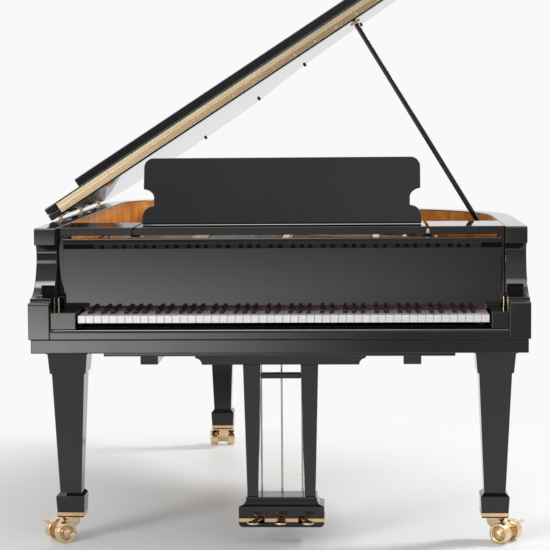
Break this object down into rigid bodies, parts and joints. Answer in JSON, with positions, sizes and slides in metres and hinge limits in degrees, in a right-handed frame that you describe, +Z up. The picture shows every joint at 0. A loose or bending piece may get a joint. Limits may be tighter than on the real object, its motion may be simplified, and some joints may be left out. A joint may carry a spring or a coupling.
{
  "type": "grand piano",
  "caption": "Grand piano with a curved rim, open lid on a prop, music desk, keyboard and action, lyre with pedals, and tapered legs on twin-wheel casters.",
  "frame": {"origin": "on the floor, below the line of the white key fronts, at the middle of the case", "axes": "+X from bass to treble, +Y from the keyboard to the tail, +Z up"},
  "size_m": [1.5259, 2.1196, 1.8345],
  "materials": {
    "black_polish": "black polyester polished to a mirror",
    "case_wood": "satin maple and beech",
    "spruce": "satin spruce",
    "gold_iron": "gold lacquer",
    "steel": "polished steel",
    "brass": "polished brass",
    "felt": "pressed felt",
    "key_white": "polished",
    "key_black": "satin"
  },
  "bodies": {
    "case": {"outer_rim": "black_polish", "inner_rim": "case_wood", "left_arm": "black_polish", "right_arm": "black_polish", "keybed": "black_polish", "keyslip": "black_polish", "key_blocks": "black_polish", "underbed_frame": "black_polish", "back_frame": "case_wood", "soundboard": "spruce", "bridges": "case_wood", "cast_plate": "gold_iron", "pinblock": "case_wood", "tuning_pins": "steel", "strings": "steel", "side_shelves": "black_polish", "front_left_leg": "black_polish", "front_right_leg": "black_polish", "rear_leg": "black_polish", "brass_bands": "brass", "lyre_frame": "black_polish", "lyre_box": "black_polish", "case_fittings": "brass"},
    "lid": {"main_lid": "black_polish", "lid_fittings": "brass"},
    "flap": {"front_flap": "black_polish", "flap_leaf": "brass"},
    "prop": {"prop_stick": "black_polish"},
    "fallboard": {"fallboard": "black_polish"},
    "shelf": {"desk_shelf": "black_polish"},
    "desk": {"music_desk": "black_polish"},
    "action": {"key_frame": "black_polish"},
    "hammers": {"hammers": "felt"},
    "dampers": {"dampers": "felt"},
    "keys": {"white_keys": "key_white", "black_keys": "key_black"},
    "left_pedal": {"left_pedal": "brass"},
    "left_rod": {"left_rod": "steel"},
    "middle_pedal": {"middle_pedal": "brass"},
    "middle_rod": {"middle_rod": "steel"},
    "right_pedal": {"right_pedal": "brass"},
    "right_rod": {"right_rod": "steel"},
    "key_c": {"key_c": "key_white"},
    "key_d": {"key_d": "key_white"},
    "key_e": {"key_e": "key_white"},
    "key_f": {"key_f": "key_white"},
    "key_g": {"key_g": "key_white"},
    "key_c_sharp": {"key_c_sharp": "key_black"},
    "key_d_sharp": {"key_d_sharp": "key_black"},
    "key_f_sharp": {"key_f_sharp": "key_black"},
    "front_left_caster": {"front_left_caster_fork": "brass"},
    "front_left_wheels": {"front_left_caster_wheels": "brass"},
    "front_left_brake": {"front_left_caster_brake": "brass"},
    "front_right_caster": {"front_right_caster_fork": "brass"},
    "front_right_wheels": {"front_right_caster_wheels": "brass"},
    "front_right_brake": {"front_right_caster_brake": "brass"},
    "rear_caster": {"rear_caster_fork": "brass"},
    "rear_wheels": {"rear_caster_wheels": "brass"},
    "rear_brake": {"rear_caster_brake": "brass"}
  },
  "joints": [
    {"name": "lid_lift", "type": "hinge", "parent": "case", "child": "lid", "pos_m": [-0.74, 1.2, 0.979], "axis": [0, -1, 0], "range_deg": [0, 8]},
    {"name": "flap_fold", "type": "hinge", "parent": "lid", "child": "flap", "pos_m": [-0.13371, 0.5, 1.40409], "axis": [0.8387, 0, 0.5446], "range_deg": [0, 180]},
    {"name": "prop_fold", "type": "hinge", "parent": "case", "child": "prop", "pos_m": [0.637, 0.705, 0.953], "axis": [-0.7096, -0.5544, -0.4348], "range_deg": [0, 72]},
    {"name": "fallboard_close", "type": "hinge", "parent": "case", "child": "fallboard", "pos_m": [0, 0.16, 0.76], "axis": [1, 0, 0], "range_deg": [0, 90]},
    {"name": "shelf_slide", "type": "slide", "parent": "case", "child": "shelf", "axis": [0, 1, 0], "range_m": [0, 0.06]},
    {"name": "desk_fold", "type": "hinge", "parent": "shelf", "child": "desk", "pos_m": [0, 0.292, 0.9733], "axis": [-1, 0, 0], "range_deg": [0, 71]},
    {"name": "left_pedal_press", "type": "hinge", "parent": "case", "child": "left_pedal", "pos_m": [-0.063, 0.18, 0.081], "axis": [1, 0, 0], "range_deg": [0, 8], "stiffness_Nm_per_rad": 6, "springref_deg": -5.73},
    {"name": "left_rod_lift", "type": "slide", "parent": "case", "child": "left_rod", "axis": [0, 0, 1], "range_m": [0, 0.0045]},
    {"name": "middle_pedal_press", "type": "hinge", "parent": "case", "child": "middle_pedal", "pos_m": [0, 0.18, 0.081], "axis": [1, 0, 0], "range_deg": [0, 8], "stiffness_Nm_per_rad": 6, "springref_deg": -5.73},
    {"name": "middle_rod_lift", "type": "slide", "parent": "case", "child": "middle_rod", "axis": [0, 0, 1], "range_m": [0, 0.0045]},
    {"name": "right_pedal_press", "type": "hinge", "parent": "case", "child": "right_pedal", "pos_m": [0.063, 0.18, 0.081], "axis": [1, 0, 0], "range_deg": [0, 8], "stiffness_Nm_per_rad": 6, "springref_deg": -5.73},
    {"name": "right_rod_lift", "type": "slide", "parent": "case", "child": "right_rod", "axis": [0, 0, 1], "range_m": [0, 0.0045]},
    {"name": "damper_lift", "type": "slide", "parent": "case", "child": "dampers", "axis": [0, 0, 1], "range_m": [0, 0.0065]},
    {"name": "action_shift", "type": "slide", "parent": "case", "child": "action", "axis": [1, 0, 0], "range_m": [0, 0.0031]},
    {"name": "keys_press", "type": "hinge", "parent": "action", "child": "keys", "pos_m": [0.013, 0.23, 0.698], "axis": [1, 0, 0], "range_deg": [0, 2.5]},
    {"name": "hammers_strike", "type": "hinge", "parent": "action", "child": "hammers", "pos_m": [0, 0.27, 0.805], "axis": [1, 0, 0], "range_deg": [0, 20]},
    {"name": "key_c_press", "type": "hinge", "parent": "action", "child": "key_c", "pos_m": [0.013, 0.23, 0.698], "axis": [1, 0, 0], "range_deg": [0, 2.5], "stiffness_Nm_per_rad": 1, "springref_deg": -5.73},
    {"name": "key_d_press", "type": "hinge", "parent": "action", "child": "key_d", "pos_m": [0.013, 0.23, 0.698], "axis": [1, 0, 0], "range_deg": [0, 2.5], "stiffness_Nm_per_rad": 1, "springref_deg": -5.73},
    {"name": "key_e_press", "type": "hinge", "parent": "action", "child": "key_e", "pos_m": [0.013, 0.23, 0.698], "axis": [1, 0, 0], "range_deg": [0, 2.5], "stiffness_Nm_per_rad": 1, "springref_deg": -5.73},
    {"name": "key_f_press", "type": "hinge", "parent": "action", "child": "key_f", "pos_m": [0.013, 0.23, 0.698], "axis": [1, 0, 0], "range_deg": [0, 2.5], "stiffness_Nm_per_rad": 1, "springref_deg": -5.73},
    {"name": "key_g_press", "type": "hinge", "parent": "action", "child": "key_g", "pos_m": [0.013, 0.23, 0.698], "axis": [1, 0, 0], "range_deg": [0, 2.5], "stiffness_Nm_per_rad": 1, "springref_deg": -5.73},
    {"name": "key_c_sharp_press", "type": "hinge", "parent": "action", "child": "key_c_sharp", "pos_m": [0.013, 0.23, 0.698], "axis": [1, 0, 0], "range_deg": [0, 2.5], "stiffness_Nm_per_rad": 1, "springref_deg": -5.73},
    {"name": "key_d_sharp_press", "type": "hinge", "parent": "action", "child": "key_d_sharp", "pos_m": [0.013, 0.23, 0.698], "axis": [1, 0, 0], "range_deg": [0, 2.5], "stiffness_Nm_per_rad": 1, "springref_deg": -5.73},
    {"name": "key_f_sharp_press", "type": "hinge", "parent": "action", "child": "key_f_sharp", "pos_m": [0.013, 0.23, 0.698], "axis": [1, 0, 0], "range_deg": [0, 2.5], "stiffness_Nm_per_rad": 1, "springref_deg": -5.73},
    {"name": "front_left_swivel", "type": "hinge", "parent": "case", "child": "front_left_caster", "pos_m": [-0.654, 0.192, 0.073], "axis": [0, 0, 1], "continuous": true},
    {"name": "front_left_roll", "type": "hinge", "parent": "front_left_caster", "child": "front_left_wheels", "pos_m": [-0.6884, 0.16791, 0.032], "axis": [0.5736, -0.8192, 0], "continuous": true},
    {"name": "front_left_brake_press", "type": "hinge", "parent": "front_left_caster", "child": "front_left_brake", "pos_m": [-0.70176, 0.15856, 0.04], "axis": [0.5736, -0.8192, 0], "range_deg": [0, 12]},
    {"name": "front_right_swivel", "type": "hinge", "parent": "case", "child": "front_right_caster", "pos_m": [0.654, 0.192, 0.073], "axis": [0, 0, 1], "continuous": true},
    {"name": "front_right_roll", "type": "hinge", "parent": "front_right_caster", "child": "front_right_wheels", "pos_m": [0.6884, 0.16791, 0.032], "axis": [0.5736, 0.8192, 0], "continuous": true},
    {"name": "front_right_brake_press", "type": "hinge", "parent": "front_right_caster", "child": "front_right_brake", "pos_m": [0.70176, 0.15856, 0.04], "axis": [0.5736, 0.8192, 0], "range_deg": [0, 12]},
    {"name": "rear_swivel", "type": "hinge", "parent": "case", "child": "rear_caster", "pos_m": [-0.297, 1.79998, 0.073], "axis": [0, 0, 1], "continuous": true},
    {"name": "rear_roll", "type": "hinge", "parent": "rear_caster", "child": "rear_wheels", "pos_m": [-0.30429, 1.84134, 0.032], "axis": [-0.9848, -0.1736, 0], "continuous": true},
    {"name": "rear_brake_press", "type": "hinge", "parent": "rear_caster", "child": "rear_brake", "pos_m": [-0.30712, 1.85739, 0.04], "axis": [-0.9848, -0.1736, 0], "range_deg": [0, 12]}
  ],
  "couplings": [
    {"joint": "left_rod_lift", "follows": "left_pedal_press", "m_per_rad": 0.0285},
    {"joint": "middle_rod_lift", "follows": "middle_pedal_press", "m_per_rad": 0.0285},
    {"joint": "right_rod_lift", "follows": "right_pedal_press", "m_per_rad": 0.0285},
    {"joint": "damper_lift", "follows": "right_pedal_press", "m_per_rad": 0.043},
    {"joint": "action_shift", "follows": "left_pedal_press", "m_per_rad": 0.0215},
    {"joint": "hammers_strike", "follows": "keys_press", "ratio": 7.8}
  ]
}
